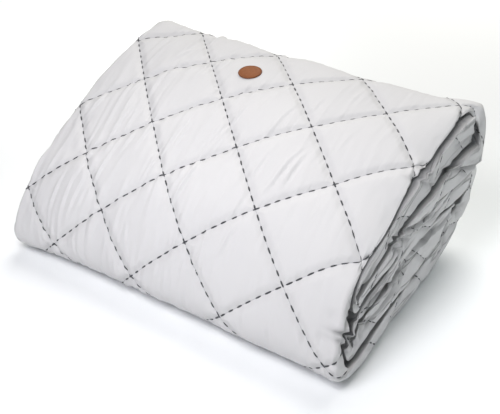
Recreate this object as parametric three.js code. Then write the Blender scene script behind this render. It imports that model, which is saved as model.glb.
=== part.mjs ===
// A quilted bedspread folded for storage, in millimetres with +Z up.
// The cloth is folded in three across its width. Then both of its ends are folded in twice, and the
// two halves are closed like a book, with the spine at the front, at -Y.
// The folds of the width stand at the two ends of the bundle, at -X and +X.
import * as THREE from "three";

// The quilting: diamonds of equal diagonals, sewn through the wadding.
const diamond = 150; // diagonal of one diamond, along and across the cloth
const seamDepth = 0.6; // of the ply's thickness, at a sewn line
const pressedDepth = 0.35; // how much of that the bundle's weight takes away underneath
const puffPower = 0.4; // below 1 the crowns are broad and the sewn lines are narrow
const seamX = 109; // two sewn lines cross this far right of the middle, on the front shoulder

// The bundle. y is 0 at the front shoulder, where the top starts to fall to the spine.
const bundleWidth = 572; // from end fold to end fold, along X
const stackHeight = 257; // at the back shoulder
const frontDrop = 90; // height lost from the back shoulder to the front shoulder
const shoulderSpan = 272; // from the front shoulder to the back shoulder
const endDroop = 0.12; // share of its height that the front loses at both ends
const backTilt = 0.06; // share of its height that the back gains at the left end and loses at the right
const leftFoot = 20; // how far the foot of the spine spreads forward at the left end

// The layers, in the order in which the cloth runs from its lower end to its upper end.
// from, to: where the run starts and ends, along Y.
// under, share: the share of the stack below the layer, and its own share.
// face: the side that the cloth's outer face is on, 1 for up and -1 for down.
// left: how far its left end fold stands out past the bundle's width.
// right: the same for its right end fold, at the start and at the end of the run.
const layers = [
  { name: "lowerTuck", from: 243, to: -22, under: 0.18, share: 0.24, face: -1, left: 0, right: [-9, -9] },
  { name: "lowerInner", from: -22, to: 294, under: 0.42, share: 0.16, face: 1, left: 6, right: [-10, 10] },
  { name: "bottom", from: 195, to: -15, under: 0, share: 0.18, face: -1, left: -4, right: [-16, -3] },
  { name: "top", from: 0, to: 272, under: 0.86, share: 0.14, face: 1, left: -5, right: [-20, -3] },
  { name: "upperInner", from: 284, to: -9, under: 0.58, share: 0.145, face: -1, left: 4, right: [14, -12] },
  { name: "upperTuck", from: -9, to: 286, under: 0.725, share: 0.135, face: 1, left: -10, right: [-12, -12] },
];

// The turns between them: how far the cloth runs straight on as it leaves one layer, and before it
// meets the next, and how far its right end fold stands out past theirs. With no lengths given, a
// turn is a half circle.
const turns = [
  { tight: true },
  { leave: 76, meet: 168, bulge: 2 },
  { leave: 118, meet: 74 },
  { leave: 72, meet: 66, bulge: 6 },
  { tight: true },
];
const halfCircleHandle = 2 / 3; // of the distance across the turn
const tightSqueeze = 0.42; // share of its thickness that the cloth loses in a tight turn

const layerGap = 3; // between one layer and the next
const foldTip = -25; // y where the layers inside end; the stack is no thinner in front of it
const plyShare = 0.31; // thickness of a ply in its layer of three, with air between the plies

// The steps of the mesh.
const seamSteps = 6; // steps in one diagonal of a diamond, where the outer face shows
const innerStep = 64; // along the layers that are folded in
const tightTurnSteps = 6;
const hiddenSteps = 6; // across the faces between the plies
const foldSteps = 5; // round an end fold

// The label: a round leather patch sewn on near the middle of one diamond.
const labelDiameter = 36;
const labelThickness = 1.6;
const labelBevel = 0.5;
const labelLift = 0.35; // clear of the cloth's crown
const labelX = seamX - 0.975 * diamond;
const labelRun = 1.46 * diamond; // from the front shoulder, along the top
const labelRings = 3;
const labelSides = 32;

const { lerp, clamp, smoothstep } = THREE.MathUtils;

// Evenly spaced numbers, both ends included.
const spaced = (from, to, steps) => Array.from({ length: steps + 1 }, (_, i) => lerp(from, to, i / steps));

// The top of the stack above the floor, at a depth y, is a parabola. So is each layer under it.
const topHeight = (y) => stackHeight - frontDrop * ((shoulderSpan - y) / shoulderSpan) ** 2;
const topSlope = (y) => (2 * frontDrop * (shoulderSpan - y)) / shoulderSpan ** 2;

const isOutermost = (layer) => layer.name === "bottom" || layer.name === "top";

// The outer face of one layer, from end to end, in a plane across the bundle.
function runCurve(layer) {
  const share = layer.under + (layer.face > 0 ? layer.share : 0);
  const step = isOutermost(layer) ? 0 : (-layer.face * layerGap) / 2;
  const at = (y) => new THREE.Vector2(y, share * topHeight(y) + step);
  const start = at(layer.from);
  const middle = (layer.from + layer.to) / 2;
  const rise = share * topSlope(layer.from) * (middle - layer.from);
  return new THREE.QuadraticBezierCurve(start, new THREE.Vector2(middle, start.y + rise), at(layer.to));
}

// A turn leaves one run and meets the next along their own directions.
function turnCurve(before, after, turn) {
  const start = before.getPoint(1);
  const end = after.getPoint(0);
  const handle = halfCircleHandle * start.distanceTo(end);
  const leave = before.getTangent(1).multiplyScalar(turn.leave ?? handle);
  const meet = after.getTangent(0).multiplyScalar(turn.meet ?? handle);
  return new THREE.CubicBezierCurve(start, start.clone().add(leave), end.clone().sub(meet), end);
}

// The outer face of the whole cloth: a run, a turn, a run and so on, so that odd pieces are turns.
function clothPath() {
  const path = new THREE.CurvePath();
  const runs = layers.map(runCurve);
  runs.forEach((run, i) => {
    if (i > 0) path.add(turnCurve(runs[i - 1], run, turns[i - 1]));
    path.add(run);
  });
  return path;
}

const path = clothPath();
const pieceEnds = path.getCurveLengths();
const pathLength = path.getLength();
const pieceStart = (piece) => (piece === 0 ? 0 : pieceEnds[piece - 1]);
const isTurn = (piece) => piece % 2 === 1;
const pieceOf = (name) => 2 * layers.findIndex((layer) => layer.name === name);
const shoulderAt = pieceStart(pieceOf("top")); // the front shoulder, along the path

// Where a length s along the path lies: its piece, how far along that it is, and the layers that
// the piece joins, which are the same layer in a run.
function station(s) {
  const piece = pieceEnds.findIndex((end) => s <= end + 1e-6);
  const along = (s - pieceStart(piece)) / (pieceEnds[piece] - pieceStart(piece));
  const before = layers[Math.floor(piece / 2)];
  const after = layers[Math.ceil(piece / 2)];
  return { piece, along, before, after };
}

// A value of the layers, eased from one layer to the next round a turn.
function eased(s, valueOf) {
  const { along, before, after } = station(s);
  return lerp(valueOf(before), valueOf(after), smoothstep(along, 0, 1));
}

// How far the right end fold stands out. In a turn it bulges, at most halfway round.
function rightReach(s) {
  const { piece, along, before, after } = station(s);
  if (!isTurn(piece)) return lerp(...before.right, along);
  const { bulge = 0 } = turns[Math.floor(piece / 2)];
  const halfway = Math.sin(Math.PI * along) ** 2;
  return lerp(before.right[1], after.right[0], smoothstep(along, 0, 1)) + bulge * halfway;
}

// Thickness of the three plies together: the layer's share of the stack, measured square to its
// slope and squeezed in tight turns.
function layerThickness(s) {
  const { piece, along } = station(s);
  const y = clamp(path.getPointAt(s / pathLength).x, foldTip, shoulderSpan);
  const slope = Math.atan(eased(s, (layer) => layer.under + layer.share / 2) * topSlope(y));
  const thickness = eased(s, (layer) => layer.share) * topHeight(y) * Math.cos(slope) - layerGap;
  const tight = isTurn(piece) && turns[Math.floor(piece / 2)].tight;
  return tight ? thickness * (1 - tightSqueeze * Math.sqrt(Math.sin(Math.PI * along))) : thickness;
}

// How near a place is to a sewn line: 1 on the line, 0 on the crown of a diamond.
function seamShare(x, s) {
  const across = (x - seamX) / diamond;
  const along = (s - shoulderAt) / diamond;
  const wave = Math.sin(Math.PI * (across + along)) * Math.sin(Math.PI * (across - along));
  return 1 - Math.abs(wave) ** puffPower;
}

const plyThickness = (s) => plyShare * layerThickness(s);

// Depth of the outer face below its crowns. Underneath, the crowns are pressed flat on the floor.
function seamValley(x, s) {
  const pressed = eased(s, (layer) => (layer.name === "bottom" ? pressedDepth : 0));
  return plyThickness(s) * Math.max(0, seamDepth * seamShare(x, s) - pressed);
}

// A place in the cloth: x along the bundle, s along the path, depth below the outer face.
function place(x, s, depth) {
  const point = path.getPointAt(s / pathLength);
  const tangent = path.getTangentAt(s / pathLength);
  const y = point.x + depth * tangent.y;
  const z = point.y - depth * tangent.x;
  return settled(x, y, z);
}

// The bundle as it has settled: lower at the front corners, leaning at the back, and spread at one foot.
function settled(x, y, z) {
  const end = (2 * x) / bundleWidth; // -1 at the left end and 1 at the right
  const back = clamp(y / shoulderSpan, 0, 1);
  const gain = -endDroop * end ** 2 * (1 - back) - backTilt * end * back;
  const low = Math.max(0, 1 - z / stackHeight) ** 2;
  const front = 1 - smoothstep(y, -shoulderSpan / 3, shoulderSpan / 3);
  const spread = leftFoot * Math.max(0, -end) ** 2 * low * front;
  return new THREE.Vector3(x, y - spread, z * (1 + gain));
}

// Columns of the outer face, on the seams' own grid between the two end folds.
function outerColumns(left, right) {
  const step = diamond / seamSteps;
  const edge = bundleWidth / 2 - step;
  const first = Math.ceil((-edge - seamX) / step);
  const last = Math.floor((edge - step - seamX) / step);
  return [left, ...spaced(seamX + first * step, seamX + last * step, last - first), right];
}

// One section across the three plies: a closed loop of places, each with its x and depth.
// The middle panel is outside, the left panel is folded under it, and the right panel under both.
function plySection(s) {
  const thickness = layerThickness(s);
  const ply = plyThickness(s);
  const plyGap = (thickness - 3 * ply) / 2;
  const leftRadius = ply + plyGap / 2;
  const rightRadius = thickness / 2;
  const leftCentre = -bundleWidth / 2 - eased(s, (layer) => layer.left) + leftRadius;
  const rightCentre = bundleWidth / 2 + rightReach(s) - rightRadius;
  const loop = [];
  const add = (x, depth) => loop.push({ x, depth, seam: seamShare(x, s) });
  const face = (from, to, depth) => spaced(from, to, hiddenSteps).forEach((x) => add(x, depth));
  // side is 1 for a fold at the right and -1 at the left, and quilted folds dip at the sewn lines.
  const fold = (centre, side, middle, radius, from, to, quilted) => {
    spaced(from, to, foldSteps).slice(1, -1).forEach((angle) => {
      const x = centre + side * radius * Math.sin(angle);
      const shrunk = radius - (quilted ? seamValley(x, s) : 0);
      add(centre + side * shrunk * Math.sin(angle), middle - shrunk * Math.cos(angle));
    });
  };

  outerColumns(leftCentre, rightCentre).forEach((x) => add(x, seamValley(x, s)));
  fold(rightCentre, 1, rightRadius, rightRadius, 0, Math.PI, true);
  face(rightCentre, leftCentre, thickness);
  add(leftCentre - ply / 4, thickness - ply / 2);
  face(leftCentre, rightCentre, thickness - ply);
  fold(rightCentre, 1, rightRadius, rightRadius - ply, Math.PI, 0, false);
  face(rightCentre, leftCentre, ply);
  add(leftCentre - plyGap, ply + plyGap / 2);
  face(leftCentre, rightCentre - plyGap, ply + plyGap);
  add(rightCentre - plyGap + ply / 4, ply + plyGap + ply / 2);
  face(rightCentre - plyGap, leftCentre, 2 * ply + plyGap);
  fold(leftCentre, -1, leftRadius, leftRadius, Math.PI, 0, true);
  return loop;
}

// Where the sections stand along the path: on the seams' grid where the outer face shows,
// wider apart on the layers that are folded in, and close together round the tight turns.
function sectionStations() {
  const shownFrom = pieceEnds[pieceOf("lowerInner")];
  const shownTo = pieceStart(pieceOf("upperInner"));
  const folded = pieceEnds.flatMap((to, piece) => {
    const from = pieceStart(piece);
    if (to > shownFrom && from < shownTo) return [];
    const steps = isTurn(piece) ? tightTurnSteps : Math.round((to - from) / innerStep);
    return spaced(from, to, steps).slice(piece === 0 ? 0 : 1);
  });
  const step = diamond / seamSteps;
  const first = Math.ceil((shownFrom - shoulderAt) / step + 0.5);
  const last = Math.floor((shownTo - shoulderAt) / step - 0.5);
  const shown = spaced(shoulderAt + first * step, shoulderAt + last * step, last - first);
  return [...folded, shownTo, ...shown].sort((a, b) => a - b);
}

// A closed solid through sections that all have the same number of places.
function loft(loops, stations) {
  const count = loops[0].length;
  const places = loops.flatMap((loop, row) => loop.map(({ x, depth }) => place(x, stations[row], depth)));
  const seams = loops.flat().map(({ seam }) => seam);
  const faces = [];
  for (let row = 0; row + 1 < loops.length; row++) {
    for (let i = 0; i < count; i++) {
      const a = row * count + i;
      const b = row * count + ((i + 1) % count);
      const [c, d] = [a + count, b + count];
      // Each cell is split along the sewn line that crosses it.
      if (seams[a] + seams[d] > seams[b] + seams[c]) faces.push(a, b, d, a, d, c);
      else faces.push(a, b, c, b, d, c);
    }
  }
  // Both ends of the cloth face the back.
  for (const start of [0, (loops.length - 1) * count]) {
    const outline = places.slice(start, start + count).map(({ x, z }) => new THREE.Vector2(x, z));
    const cap = THREE.ShapeUtils.triangulateShape(outline, []);
    cap.forEach(([a, b, c]) => faces.push(start + a, start + c, start + b));
  }
  return indexedGeometry(places, faces);
}

function indexedGeometry(places, faces) {
  const geometry = new THREE.BufferGeometry().setFromPoints(places);
  geometry.setIndex(faces);
  geometry.computeVertexNormals();
  return geometry;
}

function bedspreadMesh() {
  const stations = sectionStations();
  const geometry = loft(stations.map(plySection), stations);
  const material = new THREE.MeshStandardMaterial({ color: 0xe6e6e8, roughness: 0.85, metalness: 0 });
  const mesh = new THREE.Mesh(geometry, material);
  mesh.name = "bedspread";
  return mesh;
}

// The label follows the crown that it is sewn to: rings of its under side, then of its top side.
function labelMesh() {
  const radius = labelDiameter / 2;
  const top = labelLift + labelThickness;
  const rings = [
    ...spaced(radius / labelRings, radius - labelBevel, labelRings - 1).map((r) => [r, labelLift]),
    [radius, labelLift + labelBevel],
    [radius, top - labelBevel],
    ...spaced(radius - labelBevel, radius / labelRings, labelRings - 1).map((r) => [r, top]),
  ];
  const at = (r, angle, lift) => {
    const x = labelX + r * Math.cos(angle);
    const s = shoulderAt + labelRun + r * Math.sin(angle);
    return place(x, s, seamValley(x, s) - lift);
  };
  const angles = spaced(0, 2 * Math.PI, labelSides).slice(0, -1);
  const places = rings.flatMap(([r, lift]) => angles.map((angle) => at(r, angle, lift)));
  const under = places.push(at(0, 0, labelLift)) - 1;
  const over = places.push(at(0, 0, top)) - 1;
  const lastRing = (rings.length - 1) * labelSides;
  const faces = [];
  for (let i = 0; i < labelSides; i++) {
    const next = (i + 1) % labelSides;
    faces.push(under, next, i, over, lastRing + i, lastRing + next);
    for (let start = 0; start < lastRing; start += labelSides) {
      const [a, b] = [start + i, start + next];
      faces.push(a, b, a + labelSides, b, b + labelSides, a + labelSides);
    }
  }
  const material = new THREE.MeshStandardMaterial({ color: 0x9a5a32, roughness: 0.6, metalness: 0 });
  const mesh = new THREE.Mesh(indexedGeometry(places, faces), material);
  mesh.name = "label";
  return mesh;
}

// The origin is the middle of the bundle's footprint, on the floor.
const bedspread = new THREE.Group();
bedspread.add(bedspreadMesh(), labelMesh());
const middle = new THREE.Box3().setFromObject(bedspread).getCenter(new THREE.Vector3());
bedspread.position.set(-middle.x, -middle.y, 0);

export default bedspread;
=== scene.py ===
import math

import bpy
import numpy as np
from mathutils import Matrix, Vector
from mathutils.geometry import tessellate_polygon


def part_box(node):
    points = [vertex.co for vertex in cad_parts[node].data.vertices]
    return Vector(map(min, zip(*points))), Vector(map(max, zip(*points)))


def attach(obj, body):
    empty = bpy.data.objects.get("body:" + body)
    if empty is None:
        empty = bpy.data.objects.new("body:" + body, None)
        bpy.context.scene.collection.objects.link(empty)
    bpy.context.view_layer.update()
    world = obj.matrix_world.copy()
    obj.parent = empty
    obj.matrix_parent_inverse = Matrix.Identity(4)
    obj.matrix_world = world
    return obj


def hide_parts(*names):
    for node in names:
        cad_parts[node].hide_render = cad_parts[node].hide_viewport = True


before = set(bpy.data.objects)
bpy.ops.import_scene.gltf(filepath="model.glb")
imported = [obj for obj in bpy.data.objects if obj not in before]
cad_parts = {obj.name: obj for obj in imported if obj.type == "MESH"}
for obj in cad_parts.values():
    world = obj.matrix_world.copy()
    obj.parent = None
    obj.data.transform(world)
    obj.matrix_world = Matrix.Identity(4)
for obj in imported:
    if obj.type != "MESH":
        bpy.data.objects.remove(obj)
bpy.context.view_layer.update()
print("frame loaded:", sorted(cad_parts))

# Lengths are in metres. Across is measured over the cloth from the bundle's middle, along from its lower end.
quilting = {
    "diamond": 0.150,       # diagonal of one diamond
    "crossing": 0.109,      # a crossing of two seams on the front shoulder, right of the middle
    "depth": 0.62,          # of the ply's thickness, at a seam
    "pressed": 0.35,        # taken off that depth underneath
    "power": 0.43,          # below 1 the crowns are broad and the seams narrow
    "soft": 0.028,          # rounds the bottom of a seam
    "leftEase": 0.6,        # a seam is this much shallower over the left fold
    "easeFrom": -0.20,
    "easeOver": 0.08,
}
diamondSide = quilting["diamond"] / math.sqrt(2)

bundle = {
    "width": 0.572,
    "stack": 0.257,         # height at the back shoulder
    "frontDrop": 0.090,     # lost between the back shoulder and the front one
    "span": 0.272,          # from shoulder to shoulder
    "endDroop": 0.12,
    "backTilt": 0.06,
    "leftFoot": 0.020,
    "foldTip": -0.025,      # the stack is no thinner in front of this
    "gap": 0.0032,          # between layers
    "plyShare": 0.31,
    "taper": 0.085,         # the cloth's first end is thinned over this length
    "taperShare": 0.6,      # to this share of its thickness
    "tuckRise": 0.021,      # and rises by this
    "neck": 0.12,           # share by which a layer thins just behind its end folds
    "neckPower": 3,         # above 1 that is nearer to the fold
}

# The cloth's layers from its lower end to its upper one, as they lie in the stack.
# Left and right: how far the end folds stand out, at the start and at the stop.
# Corners: rounding of the end folds, on the outer face's side and on the other, 1 for fully round.
# Puff: how much of the quilting's depth the layer keeps.
layers = [
    {"name": "lowerTuck", "start": 0.252, "stop": -0.022, "under": 0.18, "share": 0.24, "face": -1,
     "left": (0.0, 0.0), "right": (-0.004, -0.012), "corners": (0.12, 0.12), "puff": 0.25},
    {"name": "lowerInner", "start": -0.022, "stop": 0.294, "under": 0.42, "share": 0.16, "face": 1,
     "left": (0.004, 0.006), "right": (-0.015, 0.001), "corners": (0.14, 0.12), "puff": 0.25},
    {"name": "bottom", "start": 0.195, "stop": -0.015, "under": 0.0, "share": 0.18, "face": -1,
     "left": (-0.004, -0.012), "right": (-0.009, -0.006), "corners": (0.80, 0.20), "puff": 1.0},
    {"name": "top", "start": 0.0, "stop": 0.272, "under": 0.86, "share": 0.14, "face": 1,
     "left": (-0.014, -0.004), "right": (-0.021, -0.015), "corners": (1.0, 0.60), "puff": 1.0},
    {"name": "upperInner", "start": 0.284, "stop": -0.009, "under": 0.58, "share": 0.145, "face": -1,
     "left": (0.004, -0.006), "right": (0.007, -0.018), "corners": (0.14, 0.12), "puff": 0.25},
    {"name": "upperTuck", "start": -0.009, "stop": 0.286, "under": 0.725, "share": 0.135, "face": 1,
     "left": (-0.012, -0.010), "right": (-0.0190, -0.0040), "corners": (0.14, 0.12), "puff": 0.25},
]

# How far the cloth runs straight on before and after each turn; a turn without these is a half circle.
# Squeeze and heel: shares by which a turn is thinner, or thicker inwards.
# Bulge: how far the turn's right end stands out.
turns = [
    {"squeeze": 0.42},
    {"leave": 0.076, "meet": 0.168, "heel": 0.40},
    {"leave": 0.118, "meet": 0.074},
    {"leave": 0.072, "meet": 0.066, "bulge": 0.006},
    {"squeeze": 0.42},
]


def smooth(t):
    t = np.clip(t, 0, 1)
    return t * t * (3 - 2 * t)


def stackTop(y):
    return bundle["stack"] - bundle["frontDrop"] * ((bundle["span"] - y) / bundle["span"]) ** 2


def stackSlope(y):
    return 2 * bundle["frontDrop"] * (bundle["span"] - y) / bundle["span"] ** 2


def bezier(points, t):
    points = np.repeat(np.asarray(points, float)[:, None, :], len(t), axis=1)
    while len(points) > 1:
        points = points[:-1] * (1 - t)[None, :, None] + points[1:] * t[None, :, None]
    return points[0]


def runPoints(layer):
    share = layer["under"] + (layer["share"] if layer["face"] > 0 else 0)
    outermost = layer["name"] in ("bottom", "top")
    step = 0 if outermost else -layer["face"] * bundle["gap"] / 2
    start = np.array([layer["start"], share * stackTop(layer["start"]) + step])
    stop = np.array([layer["stop"], share * stackTop(layer["stop"]) + step])
    middle = (layer["start"] + layer["stop"]) / 2
    rise = share * stackSlope(layer["start"]) * (middle - layer["start"])
    return np.array([start, [middle, start[1] + rise], stop])


def turnPoints(before, after, turn):
    out = (before[-1] - before[-2]) / np.linalg.norm(before[-1] - before[-2])
    back = (after[1] - after[0]) / np.linalg.norm(after[1] - after[0])
    handle = 2 / 3 * np.linalg.norm(after[0] - before[-1])    # for a half circle
    leave = out * turn.get("leave", handle)
    meet = back * turn.get("meet", handle)
    return np.array([before[-1], before[-1] + leave, after[0] - meet, after[0]])


def foldPath(samples=500):
    runs = [runPoints(layer) for layer in layers]
    curves = []
    for i, run in enumerate(runs):
        if i:
            curves.append(turnPoints(runs[i - 1], run, turns[i - 1]))
        curves.append(run)
    t = np.linspace(0, 1, samples)
    points, ends, far = [], [], 0.0
    lengths = []
    for curve in curves:
        spots = bezier(curve, t)
        walk = far + np.concatenate([[0], np.cumsum(np.linalg.norm(np.diff(spots, axis=0), axis=1))])
        far = walk[-1]
        ends.append(far)
        points.append(spots[1:] if lengths else spots)
        lengths.append(walk[1:] if lengths else walk)
    spots, walk = np.concatenate(points), np.concatenate(lengths)
    heading = np.gradient(spots, walk, axis=0)
    heading /= np.linalg.norm(heading, axis=1, keepdims=True)
    return {"walk": walk, "spots": spots, "heading": heading, "ends": np.array(ends)}


path = foldPath()
pieceStarts = np.concatenate([[0], path["ends"][:-1]])
clothLength = path["ends"][-1]
# where these start along the cloth; the shoulder is the front one, where the top layer starts
lowTurn, bottomRun, spine, shoulder, highTurn, upperRun = path["ends"][2:8]
print("cloth's folded length %.3f m" % clothLength)


def onPath(key, along):
    values = path[key]
    return [np.interp(along, path["walk"], values[:, k]) for k in (0, 1)]


def pieceAt(along):
    piece = np.clip(np.searchsorted(path["ends"], along - 1e-9), 0, len(path["ends"]) - 1)
    part = (along - pieceStarts[piece]) / (path["ends"][piece] - pieceStarts[piece])
    return piece, part


# A layer's value, eased into the next layer's round each turn.
def layerValue(along, values):
    piece, part = pieceAt(along)
    values = np.asarray(values, float)
    before, after = values[piece // 2], values[(piece + 1) // 2]
    return before + (after - before) * smooth(part)


def column(key):
    return [layer[key] for layer in layers]


# A turn's own value, 0 on the runs.
def turnValue(piece, key):
    values = np.array([turn.get(key, 0.0) for turn in turns] + [0.0])
    return np.where(piece % 2 == 1, values[piece // 2], 0.0)


# In a run an end's reach goes evenly from start to stop, and in a turn the right one bulges.
def endReach(along, side):
    piece, part = pieceAt(along)
    start, stop = np.array(column(side)).T
    before, after = piece // 2, (piece + 1) // 2
    inRun = start[before] + (stop[before] - start[before]) * part
    inTurn = stop[before] + (start[after] - stop[before]) * smooth(part)
    if side == "right":
        inTurn = inTurn + turnValue(piece, "bulge") * np.sin(np.pi * part) ** 2
    return np.where(piece % 2 == 0, inRun, inTurn)


def foldSizes(along):
    piece, part = pieceAt(along)
    y = np.clip(onPath("spots", along)[0], bundle["foldTip"], bundle["span"])
    middle = layerValue(along, [layer["under"] + layer["share"] / 2 for layer in layers])
    slope = np.arctan(middle * stackSlope(y))
    arch = np.sin(np.pi * np.clip(part, 0, 1))
    squeeze = turnValue(piece, "squeeze")
    thick = layerValue(along, column("share")) * stackTop(y) * np.cos(slope) - bundle["gap"]
    thick = thick * (1 - squeeze * np.sqrt(arch)) * (1 + turnValue(piece, "heel") * arch ** 2)
    thick = thick * (1 - (1 - bundle["taperShare"]) * (1 - smooth(along / bundle["taper"])))
    ply = bundle["plyShare"] * thick
    plyGap = (thick - 3 * ply) / 2
    leftRadius = ply + plyGap / 2
    rightRadius = thick / 2
    left = -bundle["width"] / 2 - endReach(along, "left") + leftRadius
    right = bundle["width"] / 2 + endReach(along, "right") - rightRadius
    return {"thick": thick, "ply": ply, "plyGap": plyGap, "left": left, "leftRadius": leftRadius,
            "right": right, "rightRadius": rightRadius,
            "corners": [layerValue(along, values) for values in np.array(column("corners")).T],
            "tight": np.where(squeeze > 0, arch, 0.0)}


# The way round an end fold in shares of its radius: flat, a corner, flat, a corner, flat.
def foldStretches(corners):
    first, second = corners
    return [1 - first, np.pi / 2 * first, 2 - first - second, np.pi / 2 * second, 1 - second]


def foldLength(corners):
    return sum(foldStretches(corners))


# Walked is the way round an end fold in shares of the radius. Gives how far out and how far down
# that is, and the outward direction there.
def foldOutline(walked, corners):
    first, second = corners
    marks = np.cumsum(np.broadcast_arrays(*foldStretches(corners)[:4]), axis=0)
    turnOne = np.clip((walked - marks[0]) / first, 0, np.pi / 2)
    turnTwo = np.clip((walked - marks[2]) / second, 0, np.pi / 2)
    turn = turnOne + turnTwo
    side = np.clip(walked - marks[1], 0, 2 - first - second)
    backAgain = np.maximum(walked - marks[3], 0)
    out = np.minimum(walked, 1 - first) + first * np.sin(turnOne) - second * (1 - np.cos(turnTwo)) - backAgain
    down = first * (1 - np.cos(turnOne)) + side + second * np.sin(turnTwo)
    return out, down, np.sin(turn), -np.cos(turn)


def latticeAt(across, along):
    u = (across - quilting["crossing"]) / quilting["diamond"]
    v = (along - shoulder) / quilting["diamond"]
    return u + v, u - v


def seamShare(across, along):
    a, b = latticeAt(across, along)
    puffed = np.sin(np.pi * a) * np.sin(np.pi * b)
    easy = 1 - quilting["leftEase"] * smooth((quilting["easeFrom"] - across) / quilting["easeOver"])
    return easy * (1 - (puffed ** 2 + quilting["soft"] ** 2) ** (quilting["power"] / 2))


def seamValley(across, along, ply):
    pressed = layerValue(along, [quilting["pressed"] * (layer["name"] == "bottom") for layer in layers])
    puff = layerValue(along, column("puff"))
    return ply * puff * np.maximum(0, quilting["depth"] * seamShare(across, along) - pressed)


# Smooth noise on a repeating table of numbers, one for each cell of the given size.
def softNoise(u, v, size, seed, cells=97):
    table = np.random.default_rng(seed).uniform(-1, 1, (cells, cells))
    u, v = u / size[0], v / size[1]
    i, j = np.floor(u).astype(int), np.floor(v).astype(int)
    fu, fv = smooth(u - i), smooth(v - j)
    at = lambda a, b: table[a % cells, b % cells]
    low = at(i, j) * (1 - fu) + at(i + 1, j) * fu
    high = at(i, j + 1) * (1 - fu) + at(i + 1, j + 1) * fu
    return low * (1 - fv) + high * fv


# Sizes are across and along.
puckers = {
    "swell": 0.0014,        # slow rise and fall of the filling
    "swellSize": (0.07, 0.09),
    "ridge": 0.0025,        # long thin ridges, front to back
    "ridgeSize": (0.020, 0.15),
    "ridgeMean": 0.3,
    "sharpness": 4,
    "gather": 0.0048,       # fine gathers, thickest at the left, in patches and beside the seams
    "gatherSize": (0.0085, 0.055),
    "patchSize": (0.06, 0.07),
    "patchGain": 0.9,
    "patchShare": 0.6,      # of the gathers, lost between the patches
    "seamReach": 0.024,
    "seamShare": 0.5,       # of the gathers, lost away from the seams
    "bend": 0.010,          # ridges and gathers wander by this
    "bendSize": (0.21, 0.13),
    "lean": 0.10,
    "leftShare": 1.0,
    "rightShare": 0.32,
    "sideFrom": -0.25,
    "sideOver": 0.42,
    "deepest": 0.7,         # no dip goes deeper than this share of the ply
    "edgeGain": 1.2,        # added to creases where the top layer is flattened at its right edge
    "edgeFrom": 0.19,
    "edgeOver": 0.07,
    "pressed": 0.0006,      # the most that a layer rises where it is folded in
    "pressedPower": 4,
    "seed": 7,
}


# How near the closest seam is, from 1 on it down to 0.
def besideSeam(across, along):
    a, b = latticeAt(across, along)
    away = np.minimum(np.abs(a - np.round(a)), np.abs(b - np.round(b))) * diamondSide
    return np.exp(-(away / puckers["seamReach"]) ** 2)


def puckerRelief(across, along):
    seed = puckers["seed"]
    bend = puckers["bend"] * softNoise(along, across, puckers["bendSize"][::-1], seed)
    slid = across + bend + puckers["lean"] * (along - shoulder)
    ridges = (1 - np.abs(softNoise(slid, along, puckers["ridgeSize"], seed + 1))) ** puckers["sharpness"]
    swell = softNoise(across, along, puckers["swellSize"], seed + 2)
    gathers = np.abs(softNoise(slid, along, puckers["gatherSize"], seed + 3))
    patches = smooth(0.5 + puckers["patchGain"] * softNoise(across, along, puckers["patchSize"], seed + 4))
    gathers = gathers * (1 - puckers["patchShare"] * (1 - patches))
    gathers = gathers * (1 - puckers["seamShare"] * (1 - besideSeam(across, along)))
    side = smooth((across - puckers["sideFrom"]) / puckers["sideOver"])
    share = puckers["leftShare"] + (puckers["rightShare"] - puckers["leftShare"]) * side
    ridged = puckers["ridge"] * (ridges - puckers["ridgeMean"])
    return puckers["swell"] * swell + share * (ridged + puckers["gather"] * gathers)


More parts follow.
